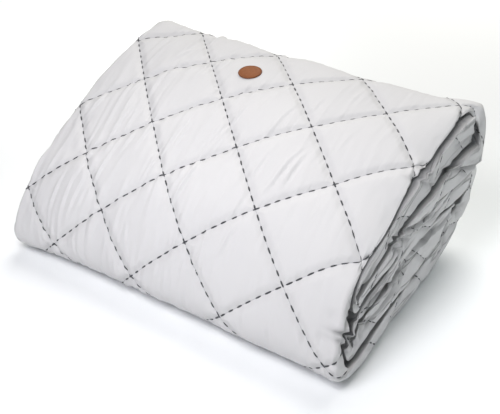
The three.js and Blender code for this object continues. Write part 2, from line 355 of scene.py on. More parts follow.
# The main creases, each a soft ridge with a trough beside it:
# across at its middle, where it starts and stops along the run, its slant over that, height, half width.
creases = [
    (-0.235, 0.047, 0.139, 0.010, 0.0023, 0.0026), (-0.212, 0.114, 0.154, 0.025, 0.0014, 0.0023),
    (-0.226, 0.202, 0.262, -0.001, 0.0014, 0.0023), (-0.169, 0.190, 0.254, 0.026, 0.0016, 0.0023),
    (-0.171, 0.033, 0.108, 0.002, 0.0018, 0.0022), (-0.165, 0.052, 0.116, 0.009, 0.0015, 0.0021),
    (-0.187, -0.117, -0.027, -0.002, 0.0023, 0.0024), (-0.210, -0.112, -0.032, 0.004, 0.0022, 0.0024),
    (-0.170, -0.108, -0.024, 0.007, 0.0022, 0.0023), (-0.158, -0.099, -0.045, 0.006, 0.0018, 0.0022),
    (-0.148, -0.054, 0.028, -0.005, 0.0020, 0.0023), (-0.115, 0.020, 0.080, -0.005, 0.0016, 0.0022),
    (-0.134, 0.004, 0.066, 0.005, 0.0015, 0.0023), (-0.064, 0.020, 0.124, 0.001, 0.0019, 0.0023),
    (-0.055, 0.031, 0.101, -0.002, 0.0018, 0.0021), (-0.013, 0.048, 0.111, 0.010, 0.0015, 0.0021),
    (-0.006, 0.056, 0.122, 0.009, 0.0014, 0.0021), (0.002, 0.041, 0.111, 0.005, 0.0018, 0.0022),
    (0.004, 0.096, 0.162, 0.005, 0.0015, 0.0022), (-0.006, -0.054, 0.050, 0.006, 0.0028, 0.0026),
    (-0.016, -0.027, 0.047, 0.005, 0.0016, 0.0022), (0.084, -0.029, 0.025, 0.001, 0.0016, 0.0022),
    (0.065, 0.091, 0.185, 0.010, 0.0022, 0.0024), (0.070, 0.111, 0.163, 0.007, 0.0015, 0.0021),
    (0.112, 0.011, 0.116, 0.021, 0.0027, 0.0024), (0.125, 0.028, 0.110, 0.005, 0.0024, 0.0023),
    (0.080, 0.018, 0.102, 0.009, 0.0018, 0.0023), (0.090, -0.084, -0.024, 0.012, 0.0019, 0.0026),
    (0.094, 0.158, 0.220, -0.002, 0.0012, 0.0022), (0.131, 0.197, 0.269, -0.002, 0.0011, 0.0023),
    (0.164, 0.115, 0.169, 0.002, 0.0009, 0.0022), (-0.097, -0.123, -0.075, -0.024, 0.0015, 0.0024),
    (-0.077, -0.114, -0.072, -0.033, 0.0015, 0.0024), (-0.060, -0.124, -0.066, -0.033, 0.0015, 0.0026),
    (0.012, -0.105, -0.057, -0.032, 0.0014, 0.0024), (0.055, -0.117, -0.067, -0.030, 0.0015, 0.0024),
    (0.048, -0.184, -0.124, -0.007, 0.0015, 0.0024), (0.137, -0.170, -0.132, -0.012, 0.0012, 0.0026),
    (0.178, -0.164, -0.124, -0.015, 0.0012, 0.0026), (0.222, -0.150, -0.106, -0.016, 0.0014, 0.0026),
]

# Dents where the filling is pinched near the right end: across, run, depth, radius.
dents = [
    (0.262, 0.142, 0.0030, 0.008), (0.254, 0.101, 0.0022, 0.008), (0.268, 0.092, 0.0024, 0.007),
    (0.267, 0.211, 0.0022, 0.008), (0.262, -0.002, 0.0028, 0.007), (0.252, -0.020, 0.0020, 0.007),
    (0.255, -0.083, 0.0024, 0.008), (0.268, -0.099, 0.0026, 0.007), (0.249, -0.112, 0.0018, 0.008),
    (0.240, 0.090, 0.0012, 0.009), (0.246, 0.170, 0.0012, 0.009),
]

# The form that all creases share.
creaseForm = {
    "taper": 1.5,           # above 1 the ends are finer
    "bow": 0.1,             # of the slant, by which a crease curves
    "trough": 0.8,          # of the ridge's height
    "troughOff": 1.7,       # in half widths
}


def creaseRelief(across, along):
    run = along - shoulder
    total = np.zeros(np.broadcast(across, along).shape)
    for middle, start, stop, slant, height, width in creases:
        part = (run - start) / (stop - start)
        arch = np.sin(np.pi * np.clip(part, 0, 1)) ** creaseForm["taper"]
        taper = np.where((part > 0) & (part < 1), arch, 0)
        curve = slant * (part - 0.5) + creaseForm["bow"] * slant * np.sin(2 * np.pi * part)
        off = (across - middle - curve) / width
        trough = creaseForm["trough"] * np.exp(-(off - creaseForm["troughOff"]) ** 2)
        total += height * taper * (np.exp(-off ** 2) - trough)
    for middle, dentRun, depth, radius in dents:
        total -= depth * np.exp(-((across - middle) ** 2 + (run - dentRun) ** 2) / radius ** 2)
    return total


# Crumpled cloth on the end folds, deeper where a layer turns tightly.
crumples = {
    "fold": 0.0014,
    "foldSize": (0.030, 0.045),
    "crease": 0.0018,
    "creaseSize": (0.020, 0.026),
    "sharpness": 5,
    "skew": 0.6,
    "tight": 2.0,           # added share in the tight turns
    "seed": 31,
}


def crumpleRelief(across, along, tight):
    seed = crumples["seed"]
    fold = softNoise(across, along, crumples["foldSize"], seed)
    skewed = along + crumples["skew"] * across
    lines = 1 - np.abs(softNoise(across, skewed, crumples["creaseSize"], seed + 1))
    total = crumples["fold"] * fold - crumples["crease"] * lines ** crumples["sharpness"]
    return total * (1 + crumples["tight"] * tight)


label = {
    "radius": 0.018,
    "across": quilting["crossing"] - 0.975 * quilting["diamond"],
    "run": 1.46 * quilting["diamond"],
    "thickness": 0.0016,
    "lift": 0.00035,
    "calm": 0.030,          # the cloth is smooth this far round it
    "calmPower": 6,
    "sides": 96,
    "boxSteps": 64,         # places round it that give its box
}


def relief(across, along, ply):
    reach = np.hypot(across - label["across"], along - shoulder - label["run"])
    calm = np.exp(-(reach / label["calm"]) ** label["calmPower"])
    puff = layerValue(along, column("puff"))
    onTop = layerValue(along, [layer["name"] == "top" for layer in layers])
    kept = 1 + puckers["edgeGain"] * onTop * smooth((across - puckers["edgeFrom"]) / puckers["edgeOver"])
    loose = puckerRelief(across, along) + kept * creaseRelief(across, along)
    held = np.minimum(puff * loose, puckers["pressed"] + puff ** puckers["pressedPower"] * loose)
    loose = np.where(puff < 1, held, loose)
    return np.maximum(-seamValley(across, along, ply) + (1 - calm) * loose, -puckers["deepest"] * ply)


# The layers sway a little where they show at the two ends. Sizes are in y and z.
sway = {
    "rise": 0.0024,
    "riseSize": (0.060, 0.075),
    "out": 0.0022,
    "outSize": (0.050, 0.036),
    "from": 0.17,
    "over": 0.10,
    "seed": 53,
}

# The top layer bends down at its right edge.
crown = {
    "drop": 0.015,
    "from": 0.215,
    "over": 0.055,
    "most": 1.1,
    "backFrom": 0.15,       # less and less behind this
    "backOver": 0.11,
    "front": 0.06,          # and not further than this in front of the shoulder
    "power": 3,             # above 1 the layers below bend less
    "ripple": 0.5,          # by which the drop varies along the edge
    "rippleSize": (0.032, 1.0),
    "rippleRow": 0.4,
    "seed": 57,
}


# Creases seen on the right end, in its own plane: from y, z to y, z, depth, half width.
endCreases = [
    (0.190, 0.185, 0.330, 0.146, 0.0060, 0.0040), (0.225, 0.208, 0.300, 0.200, 0.0030, 0.0035),
    (0.111, 0.206, 0.155, 0.180, 0.0040, 0.0035), (0.136, 0.212, 0.159, 0.188, 0.0035, 0.0030),
    (0.146, 0.196, 0.170, 0.164, 0.0040, 0.0032), (0.047, 0.149, 0.084, 0.113, 0.0050, 0.0034),
    (0.055, 0.152, 0.104, 0.125, 0.0045, 0.0032), (0.068, 0.146, 0.060, 0.122, 0.0040, 0.0030),
    (-0.036, 0.100, -0.055, 0.084, 0.0050, 0.0030), (-0.068, 0.091, -0.034, 0.056, 0.0060, 0.0034),
    (-0.067, 0.080, -0.043, 0.041, 0.0060, 0.0034), (-0.058, 0.088, -0.020, 0.038, 0.0050, 0.0032),
    (-0.010, 0.075, -0.015, 0.038, 0.0045, 0.0032), (-0.046, 0.096, -0.024, 0.070, 0.0050, 0.0030),
    (0.022, 0.134, -0.030, 0.096, 0.0035, 0.0026), (0.240, 0.104, 0.330, 0.072, 0.0045, 0.0034),
    (0.255, 0.096, 0.310, 0.050, 0.0045, 0.0034), (0.236, 0.064, 0.256, 0.026, 0.0035, 0.0034),
    (0.150, 0.120, 0.230, 0.112, 0.0030, 0.0030), (0.000, 0.052, 0.060, 0.070, 0.0030, 0.0030),
    (0.298, 0.204, 0.336, 0.236, 0.0020, 0.0036), (0.304, 0.196, 0.352, 0.204, 0.0020, 0.0036),
    (0.180, 0.129, 0.054, 0.152, 0.0050, 0.0026), (0.260, 0.092, 0.105, 0.094, 0.0055, 0.0028),
    (0.130, 0.096, -0.007, 0.078, 0.0055, 0.0028), (0.225, 0.103, 0.090, 0.080, 0.0050, 0.0026),
    (0.120, 0.088, -0.014, 0.047, 0.0055, 0.0028), (0.055, 0.149, 0.109, 0.124, 0.0040, 0.0028),
    (0.036, 0.094, 0.073, 0.076, 0.0036, 0.0030), (0.082, 0.086, 0.098, 0.062, 0.0036, 0.0030),
]

# The form that these share, and where the end begins.
endForm = {
    "core": 0.75,           # of the half width
    "taper": 0.6,           # below 1 the ends are blunter
    "ridge": 0.6,           # of the depth, beside the crease
    "ridgeOff": 2.2,
    "darkest": 0.006,       # a crease of this depth gets the most painted shade
    "from": 0.24,
    "over": 0.03,
}


# Their relief, and how deep in one a place lies, which sets how much painted shade it gets.
def endRelief(y, z):
    total, deepest = np.zeros(np.broadcast(y, z).shape), np.zeros(np.broadcast(y, z).shape)
    for y0, z0, y1, z1, depth, width in endCreases:
        length = math.hypot(y1 - y0, z1 - z0)
        headingY, headingZ = (y1 - y0) / length, (z1 - z0) / length
        part = ((y - y0) * headingY + (z - z0) * headingZ) / length
        off = ((z - z0) * headingY - (y - y0) * headingZ) / (endForm["core"] * width)
        arch = np.sin(np.pi * np.clip(part, 0, 1)) ** endForm["taper"]
        taper = np.where((part > 0) & (part < 1), arch, 0)
        core = np.exp(-np.abs(off))
        total += depth * taper * (endForm["ridge"] * np.exp(-(off - endForm["ridgeOff"]) ** 2) - core)
        deepest = np.maximum(deepest, depth / endForm["darkest"] * taper * core)
    return total, deepest


def onRightEnd(x):
    return smooth((x - endForm["from"]) / endForm["over"])


# Shares of the stack's height where one layer meets the next: in the middle, and at the right end.
# Between them they change over a stretch, and not in front of the shoulder.
middleShares = sorted(column("under")) + [1.0]
rightShares = [0.0, 0.21, 0.475, 0.625, 0.785, 0.962, 1.0]
rightShift = {"from": 0.18, "over": 0.08, "front": 0.05}


def settledGain(end, y):
    back = np.clip(y / bundle["span"], 0, 1)
    return -bundle["endDroop"] * end ** 2 * (1 - back) - bundle["backTilt"] * end * back


def crownDrop(x, y):
    bent = np.clip((x - crown["from"]) / crown["over"], 0, crown["most"]) ** 2
    bent = bent * (1 - smooth((y - crown["backFrom"]) / crown["backOver"])) * smooth(1 + y / crown["front"])
    ripple = softNoise(y, crown["rippleRow"] + 0 * y, crown["rippleSize"], crown["seed"])
    return crown["drop"] * bent * (1 + crown["ripple"] * ripple)


# Noise in the planes of the two ends, its own for each.
def endNoise(x, y, z, size, seed):
    return np.where(x > 0, softNoise(y, z, size, seed), softNoise(y, z, size, seed + 1))


def swayed(x, y, z):
    height = stackTop(np.clip(y, bundle["foldTip"], bundle["span"]))
    up = np.clip(z / height, 0, 1)
    shift = np.interp(up, middleShares, rightShares) - up
    atEnd = smooth((x - rightShift["from"]) / rightShift["over"]) * smooth(1 + y / rightShift["front"])
    z = z + height * shift * atEnd - crownDrop(x, y) * up ** crown["power"]
    inside = 4 * up * (1 - up) * smooth((np.abs(x) - sway["from"]) / sway["over"])
    rise = sway["rise"] * inside * endNoise(x, y, z, sway["riseSize"], sway["seed"])
    out = sway["out"] * inside * endNoise(x, y, z, sway["outSize"], sway["seed"] + 2)
    settledZ = z * (1 + settledGain(2 * x / bundle["width"], y))
    return x + np.sign(x) * out + endRelief(y, settledZ)[0] * onRightEnd(x), y, z + rise


# The settled bundle: its ends droop, its back leans and its left foot spreads forwards.
def settle(x, y, z):
    x, y, z = swayed(x, y, z)
    end = 2 * x / bundle["width"]
    low = np.maximum(0, 1 - z / bundle["stack"]) ** 2
    third = bundle["span"] / 3
    front = 1 - smooth((y + third) / (2 * third))
    spread = bundle["leftFoot"] * np.maximum(0, -end) ** 2 * low * front
    return np.stack([x, y - spread, z * (1 + settledGain(end, y))], axis=-1)


# How deep a settled place lies in a crease of the right end, for the painted shade there.
def creaseShade(settled):
    x, y, z = np.moveaxis(settled, -1, 0)
    return np.clip(endRelief(y, z)[1], 0, 1) * onRightEnd(x)


def place(x, along, depth):
    y, z = onPath("spots", along)
    z = z + bundle["tuckRise"] * smooth(1 - along / bundle["taper"])
    ty, tz = onPath("heading", along)
    return settle(x, y + depth * tz, z - depth * ty)


# The label's own box tells where the settled bundle lies in the part's frame.
def frameOffset():
    turn = np.linspace(0, 2 * np.pi, label["boxSteps"])
    ring = label["radius"]
    across = label["across"] + ring * np.cos(turn)
    along = shoulder + label["run"] + ring * np.sin(turn)
    ply = foldSizes(along)["ply"]
    spots = place(across, along, seamValley(across, along, ply) - label["lift"])
    low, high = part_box("label")
    middle = (low + high) / 2
    own = (spots.min(axis=0) + spots.max(axis=0)) / 2
    return np.array([middle.x - own[0], middle.y - own[1], 0.0])


offset = frameOffset()
print("bundle's offset in the part's frame", np.round(offset, 4))


# How much a place faces a slot between two layers, for the painted shade there: the cloth's colour is
# darkened in the slots.
slots = {
    "puffBelow": 0.5,       # a layer with less puff is folded in
    "puffOver": 0.25,
    "outerFade": 0.4,       # lost towards a fold's edge, on the outer face's side
    "otherFade": 0.75,      # and on the other
    "fadeFrom": 0.45,
    "fadeOver": 0.3,
    "power": 2.5,           # how fast the rest is lost as the fold turns outwards
    "shortestFlat": 0.05,   # of a fold's radius
    "underFace": 0.5,       # painted shade on a layer's other face
}


# A place on the outer face, also where it goes round the folds at the two ends.
# Tucked is 1 where that place faces a slot between two layers, and sets how much painted shade it gets.
def clothSpot(across, along, lift=0.0):
    size = foldSizes(along)
    first, second = size["corners"]
    foldedIn = smooth((slots["puffBelow"] - layerValue(along, column("puff"))) / slots["puffOver"])
    rise = relief(across, along, size["ply"]) + lift
    crumple = crumpleRelief(across, along, size["tight"])
    x, depth, tucked = across + 0.0, -rise, foldedIn + 0 * across
    ends = ((1, size["right"], size["rightRadius"]), (-1, size["left"], size["leftRadius"]))
    for side, centre, radius in ends:
        walked = side * (across - centre) / radius
        out, down, outward, downward = foldOutline(np.maximum(walked, 0), size["corners"])
        grown = rise + crumple * outward ** 2
        flat = np.maximum(np.where(down < 1, 1 - first, 1 - second), slots["shortestFlat"])
        facing = np.where(down < 1, foldedIn, 1)
        necked = np.clip(out / flat, 0, 1) ** bundle["neckPower"]
        neck = bundle["neck"] * facing * np.sin(np.pi * necked) ** 2
        x = np.where(walked > 0, centre + side * (radius * out + grown * outward), x)
        depth = np.where(walked > 0, radius * (1 + (down - 1) * (1 - neck)) + grown * downward, depth)
        fade = np.where(down < 1, slots["outerFade"], slots["otherFade"])
        shown = 1 - fade * smooth((out - slots["fadeFrom"]) / slots["fadeOver"])
        # painted shade: this mask darkens the cloth's colour where it faces a slot
        tucked = np.where(walked > 0, shown * facing * (1 - outward) ** slots["power"], tucked)
    return x, depth, tucked


mesh = {
    "hiddenStep": 0.0044,   # rows on the layers that are folded in
    "backStep": 0.0100,     # rows of the turns at the back
    "bottomStep": 0.0044,
    "shownStep": 0.0046,    # rows on the spine and the top
    "columns": (0, 0.24, 0.48, 0.66, 0.78, 0.86, 0.91, 0.955, 1),    # of a face that is folded in
    "shownColumns": 236,
    "rightSteps": 30,       # round the fold at the right end
    "leftSteps": 16,
    "foldShares": (0.12, 0.20, 0.36, 0.20, 0.12),    # of these steps, on a fold's flats and corners
    "evenShare": 0.2,       # of the way round, by which the steps are even
    "innerSteps": 6,        # round the fold inside
    "hemSteps": 3,
    "lap": 0.03,            # the shown rows go this far into the folds
}


# Places round an end fold for its columns, in shares of the radius, closer together at the corners.
def foldWalk(corners, steps):
    part = np.linspace(0, 1, steps + 1)[1:-1][None, :]
    begin, walked = 0.0, mesh["evenShare"] * part * foldLength(corners)
    for stretch, share in zip(foldStretches(corners), mesh["foldShares"]):
        walked = walked + (1 - mesh["evenShare"]) * stretch * np.clip((part - begin) / share, 0, 1)
        begin += share
    return walked


# Columns of one section: a closed loop over the middle panel, the right panel under both and the left panel.
def sectionColumns(along, shares):
    along = along[:, None]
    size = foldSizes(along)
    thick, ply, plyGap = size["thick"], size["ply"], size["plyGap"]
    left, right = size["left"], size["right"]
    leftRadius, rightRadius = size["leftRadius"], size["rightRadius"]
    parts = []

    def outer(across):
        x, depth, tucked = clothSpot(across, along + 0 * across)
        parts.append((x, depth, across, tucked))

    def face(start, stop, depth, across, tucked=0.0):
        t = np.array(mesh["columns"])[None, :]
        t = t if np.mean(start) < np.mean(stop) else 1 - t[:, ::-1]
        x = start + (stop - start) * t
        parts.append((x, depth + 0 * x, across(x), tucked + 0 * x))

    # start is the depth where the bend begins and down is 1 where it goes deeper
    def bend(centre, side, start, radius, down, steps, across, corners):
        part = np.linspace(0, 1, steps + 1)[1:-1][None, :]
        out, deeper, _, _ = foldOutline(part * foldLength(corners), corners)
        x = centre + side * radius * out
        parts.append((x, start + down * radius * deeper, across + 0 * x, 0 * x))

    roundFold = (1.0, 1.0)
    length = foldLength(size["corners"])
    underRight = lambda x: 2 * right - x + length * rightRadius
    underLeft = lambda x: 2 * left - x - length * leftRadius
    outer(left + (right - left) * shares[None, :])
    outer(right + foldWalk(size["corners"], mesh["rightSteps"]) * rightRadius)
    face(right, left, thick, underRight, slots["underFace"])
    bend(left, -1, thick, ply / 2, -1, mesh["hemSteps"], underRight(left), roundFold)
    face(left, right, thick - ply, underRight)
    bend(right, 1, thick - ply, rightRadius - ply, -1, mesh["innerSteps"], right, size["corners"][::-1])
    face(right, left, ply, lambda x: x)
    bend(left, -1, ply, plyGap / 2, 1, mesh["hemSteps"], left, roundFold)
    face(left, right - plyGap - ply / 2, ply + plyGap, underLeft)
    bend(right - plyGap - ply / 2, 1, ply + plyGap, ply / 2, 1, mesh["hemSteps"], underLeft(right), roundFold)
    face(right - plyGap - ply / 2, left, 2 * ply + plyGap, underLeft)
    outer(left - foldWalk(size["corners"], mesh["leftSteps"])[:, ::-1] * leftRadius)
    return [np.concatenate([part[k] for part in parts], axis=1) for k in range(4)]


# Rows along the cloth in blocks, each with its columns over the outer face.
def rowBlocks():
    lap = mesh["lap"]
    few, many = np.array(mesh["columns"]), np.linspace(0, 1, mesh["shownColumns"] + 1)
    plan = [
        (0, "hiddenStep", few),
        (lowTurn - lap, "backStep", many),
        (bottomRun + lap, "bottomStep", few),
        (spine - lap, "shownStep", many),
        (highTurn, "backStep", many),
        (upperRun + lap, "hiddenStep", few),
    ]
    stops = [row[0] for row in plan[1:]] + [clothLength]
    blocks = []
    for (start, stepName, shares), stop in zip(plan, stops):
        rows = np.linspace(start, stop, int((stop - start) / mesh[stepName]) + 1)
        rows = rows if stop == clothLength else rows[:-1]
        if blocks and len(blocks[-1][1]) == len(shares):
            blocks[-1] = (np.concatenate([blocks[-1][0], rows]), shares)
        else:
            blocks.append((rows, shares))
    return blocks


def gridFaces(first, rows, columns):
    row, i = np.meshgrid(np.arange(rows - 1), np.arange(columns), indexing="ij")
    a = first + row * columns + i
    b = first + row * columns + (i + 1) % columns
    return np.stack([a, b, b + columns, a + columns], axis=-1).reshape(-1, 4).tolist()


# The faces of a closed piece made of rings: the grid and a face at each end.
def ringFaces(rings, sides):
    last = (rings - 1) * sides
    return gridFaces(0, rings, sides) + [list(range(sides))[::-1], list(range(last, last + sides))]


# The strip between two blocks: their columns differ over the outer face and agree beyond it.
def zipFaces(one, two):
    faces = []
    (first, shares, count), (last, others, otherCount) = one, two
    i, j = 0, 0
    while i < len(shares) - 1 or j < len(others) - 1:
        if j == len(others) - 1 or (i < len(shares) - 1 and shares[i + 1] <= others[j + 1]):
            faces.append((first + i, first + i + 1, last + j))
            i += 1
        else:
            faces.append((first + i, last + j + 1, last + j))
            j += 1
    for k in range(count - len(shares) + 1):
        a, b = first + i + k, first + (i + k + 1) % count
        c, d = last + j + k, last + (j + k + 1) % otherCount
        faces.append((a, b, d, c))
    return faces


def endFaces(spots, first):
    flat = [Vector((p[0], p[2], 0)) for p in spots]
    faces = []
    for a, b, c in tessellate_polygon([flat]):
        facing = np.cross(spots[b] - spots[a], spots[c] - spots[a])[1]
        faces.append((first + a, first + b, first + c) if facing > 0 else (first + a, first + c, first + b))
    return faces


def newObject(name, spots, faces, maps=()):
    data = bpy.data.meshes.new(name)
    data.from_pydata(spots.tolist(), [], faces)
    corners = np.zeros(len(data.loops), int)
    data.loops.foreach_get("vertex_index", corners)
    for mapName, values in maps:
        layer = data.uv_layers.new(name=mapName)
        layer.data.foreach_set("uv", values[corners].astype(np.float32).ravel())
    data.polygons.foreach_set("use_smooth", np.ones(len(data.polygons), bool))
    data.update()
    piece = bpy.data.objects.new(name, data)
    bpy.context.scene.collection.objects.link(piece)
    return piece


def makeBedspread():
    spots, maps, shades, faces, count = [], [], [], [], 0
    before = None
    for along, shares in rowBlocks():
        x, depth, across, tucked = sectionColumns(along, shares)
        rows, columns = x.shape
        settled = place(x, along[:, None] + 0 * x, depth)
        spots.append((settled + offset).reshape(-1, 3))
        maps.append(np.stack([across, along[:, None] + 0 * x], axis=-1).reshape(-1, 2))
        # painted shade for each place: where it faces a slot, and in a crease of the right end
        shades.append(np.stack([tucked, creaseShade(settled)], axis=-1).reshape(-1, 2))
        faces += gridFaces(count, rows, columns)
        if before is None:
            firstRow = columns
        else:
            faces += zipFaces(before, (count, shares, columns))
        before = (count + (rows - 1) * columns, shares, columns)
        count += rows * columns
    spots = np.concatenate(spots)
    spots[:, 2] = np.maximum(spots[:, 2], 0)
    faces += endFaces(spots[:firstRow], 0)
    faces += endFaces(spots[before[0]:], before[0])
    clothMap = np.concatenate(maps)
    seamMap = np.stack(latticeAt(clothMap[:, 0], clothMap[:, 1]), axis=-1)
    return newObject("bedspread_cloth", spots, faces,
                     [("cloth", clothMap), ("seams", seamMap), ("shades", np.concatenate(shades))])


bedspread = makeBedspread()
triangles = sum(len(p.vertices) - 2 for p in bedspread.data.polygons)
print("bedspread:", triangles, "triangles")

stitching = {
    "perSide": 7,           # dashes along one side of a diamond
    "lines": 18,            # seams of a family, to each side of the crossing
    "past": 0.05,           # how far past the bundle's sides they are followed
    "hem": 0.01,            # left free at the cloth's two ends
    "dash": 0.0112,
    "dashRange": (0.88, 1.1),
    "jitter": 0.0007,
    "width": 0.0024,
    "height": 0.0016,
    "sink": 0.0008,
    "arch": 1.2,            # of half its height, by which a dash's middle stands higher than its ends
    "slimEnd": 0.35,        # width at a dash's ends
    "nudge": 0.001,         # tells the outward direction
    "rings": 6,
    "sides": 6,
    "round": 0.85,          # of the way round an end fold
    "shown": 0.6,           # folded in or underneath, only where the cloth faces outwards by this
    "foldedShare": 0.7,     # width of a dash there
    "sunkShare": 0.35,      # the flatter family's dashes are this much slimmer towards the back
    "sunkOver": 0.12,
    "seed": 21,
}


# Where the dashes of both families of seams start and stop, as across and along.
def dashEnds():
    rng = np.random.default_rng(stitching["seed"])
    pitch = 1 / stitching["perSide"]
    farthest = stitching["lines"] * stitching["perSide"]
    edge, hem = bundle["width"] / 2 + stitching["past"], stitching["hem"]
    starts, stops, families = [], [], []
    for family in (0, 1):
        for line in range(-stitching["lines"], stitching["lines"] + 1):
            phase = rng.uniform(0, 1)
            for n in range(-farthest, farthest):
                middle = (n + phase) * pitch + rng.normal(0, stitching["jitter"] / diamondSide)
                half = stitching["dash"] / diamondSide / 2 * rng.uniform(*stitching["dashRange"])
                u = (line + middle) / 2
                v = (line - middle) / 2 if family == 0 else (middle - line) / 2
                across = quilting["crossing"] + u * quilting["diamond"]
                along = shoulder + v * quilting["diamond"]
                if abs(across) > edge or not hem < along < clothLength - hem:
                    continue
                step = half * quilting["diamond"] / 2
                rise = -step if family == 0 else step
                starts.append((across - step, along - rise))
                stops.append((across + step, along + rise))
                families.append(family)
    return np.array(starts), np.array(stops), np.array(families)


# Which dashes show, and each one's share of the full width.
def shownDashes(starts, stops, families):
    across, along = (starts + stops).T / 2
    begin, lap = starts[:, 1], mesh["lap"]
    size = foldSizes(along)
    pastRight = (across - size["right"]) / size["rightRadius"]
    pastLeft = (size["left"] - across) / size["leftRadius"]
    walked = np.maximum(pastRight, pastLeft)
    outward = foldOutline(np.maximum(walked, 0), size["corners"])[2] * (walked > 0)
    reach = np.hypot(across - label["across"], along - shoulder - label["run"])
    foldedIn = (begin < lowTurn - lap) | (begin > upperRun + lap)
    underneath = (begin > bottomRun) & (begin < spine)
    shown = ~(foldedIn | underneath) | (outward > stitching["shown"])
    sewn = (walked < stitching["round"] * foldLength(size["corners"])) & (reach > label["radius"])
    sunk = (families == 1) * smooth((begin - shoulder) / stitching["sunkOver"])
    share = np.where(foldedIn, stitching["foldedShare"], 1 - stitching["sunkShare"] * sunk)
    return shown & sewn, share


# Dashes of thread along the seams, each a small bead laid over the cloth.
def makeStitches():
    starts, stops, families = dashEnds()
    keep, share = shownDashes(starts, stops, families)
    starts, stops, share = starts[keep], stops[keep], share[keep][:, None, None, None]
    t = np.linspace(0, 1, stitching["rings"])
    bow = np.sqrt(np.maximum(0, 1 - (2 * t - 1) ** 2))
    lift = stitching["height"] / 2 * stitching["arch"] * bow - stitching["sink"]
    track = starts[:, None, :] + (stops - starts)[:, None, :] * t[None, :, None]

    def at(extra):
        x, depth, _ = clothSpot(track[..., 0], track[..., 1], lift[None, :] + extra)
        return place(x, track[..., 1], depth) + offset

    centre = at(0.0)
    outward = at(stitching["nudge"]) - centre
    outward /= np.linalg.norm(outward, axis=-1, keepdims=True)
    heading = np.gradient(centre, axis=1)
    heading /= np.linalg.norm(heading, axis=-1, keepdims=True)
    sideways = np.cross(heading, outward)
    slim = share * (stitching["slimEnd"] + (1 - stitching["slimEnd"]) * bow)[None, :, None, None]
    turn = np.linspace(0, 2 * np.pi, stitching["sides"] + 1)[:-1]
    wide = stitching["width"] / 2 * slim * np.cos(turn)[None, None, :, None]
    high = stitching["height"] / 2 * slim * np.sin(turn)[None, None, :, None]
    rings = centre[:, :, None, :] + wide * sideways[:, :, None, :] + high * outward[:, :, None, :]
    maps = np.zeros(rings.shape[:3] + (2,))
    maps[..., 0] = t[None, :, None] * stitching["dash"]
    maps[..., 1] = turn[None, None, :] / 2 * stitching["width"]
    count, perDash = len(rings), stitching["rings"] * stitching["sides"]
    oneDash = ringFaces(stitching["rings"], stitching["sides"])
    faces = [[n * perDash + k for k in face] for n in range(count) for face in oneDash]
    print("stitches:", count, "dashes")
    return newObject("quilting_thread", rings.reshape(-1, 3), faces, [("thread", maps.reshape(-1, 2))])


stitches = makeStitches()

# The label's section: reach in shares of its radius, rise in shares of its thickness.
labelProfile = [
    (0.02, 0.0), (0.5, 0.0), (0.96, 0.0),                       # under side
    (0.99, 0.15), (1.0, 0.5), (0.99, 0.8), (0.965, 0.97),       # edge
    (0.93, 1.0), (0.87, 0.98),                                  # rim
    (0.845, 0.83), (0.82, 0.83),                                # groove
    (0.795, 1.0), (0.7, 1.03), (0.5, 1.06), (0.25, 1.08), (0.02, 1.09),    # crown
]


# A round patch that follows the cloth's crown.
def makeLabel():
    turn = np.linspace(0, 2 * np.pi, label["sides"] + 1)[:-1]
    reach, rise = np.array(labelProfile).T[:, :, None]
    disc = np.stack([reach * np.cos(turn), reach * np.sin(turn)], axis=-1)
    across = label["across"] + label["radius"] * disc[..., 0]
    along = shoulder + label["run"] + label["radius"] * disc[..., 1]
    under = seamValley(across, along, foldSizes(along)["ply"])
    spots = place(across, along, under - label["lift"] - label["thickness"] * rise) + offset
    faces = ringFaces(len(labelProfile), label["sides"])
    return newObject("leather_label", spots.reshape(-1, 3), faces, [("disc", disc.reshape(-1, 2))])


leatherLabel = makeLabel()
print("label made")


class NodeSheet:
    def __init__(self, name):
        self.material = bpy.data.materials.new(name)
        self.material.use_nodes = True
        self.tree = self.material.node_tree
        self.shader = self.tree.nodes["Principled BSDF"]

    def node(self, kind, inputs=(), **settings):
        made = self.tree.nodes.new(kind)
        for key, value in settings.items():
            setattr(made, key, value)
        for key, value in dict(inputs).items():
            if isinstance(value, bpy.types.NodeSocket):
                self.tree.links.new(value, made.inputs[key])
            else:
                made.inputs[key].default_value = value
        return made.outputs

    def math(self, operation, *values):
        return self.node("ShaderNodeMath", dict(enumerate(values)), operation=operation)[0]

    def uv(self, name):
        return self.node("ShaderNodeUVMap", uv_map=name)[0]

    def split(self, vector):
        return self.node("ShaderNodeSeparateXYZ", {0: vector})

    def stretch(self, vector, scale):
        return self.node("ShaderNodeMapping", {"Vector": vector, "Scale": scale})[0]

    def noise(self, vector, scale, detail, distortion):
        inputs = {"Vector": vector, "Scale": scale, "Detail": detail, "Distortion": distortion}
        return self.node("ShaderNodeTexNoise", inputs)[0]

    def ramp(self, value, start, stop, low=0.0, high=1.0):
        return self.node("ShaderNodeMapRange", {0: value, 1: start, 2: stop, 3: low, 4: high})[0]

    def mix(self, share, one, other):
        return self.node("ShaderNodeMix", {0: share, 6: one, 7: other}, data_type="RGBA")[2]

    def bump(self, height, strength, distance, below=None, invert=False):
        inputs = {"Height": height, "Strength": strength, "Distance": distance}
        if below:
            inputs["Normal"] = below
        return self.node("ShaderNodeBump", inputs, invert=invert)[0]

    def feed(self, socket, value):
        if isinstance(value, bpy.types.NodeSocket):
            self.tree.links.new(value, self.shader.inputs[socket])
        else:
            self.shader.inputs[socket].default_value = value


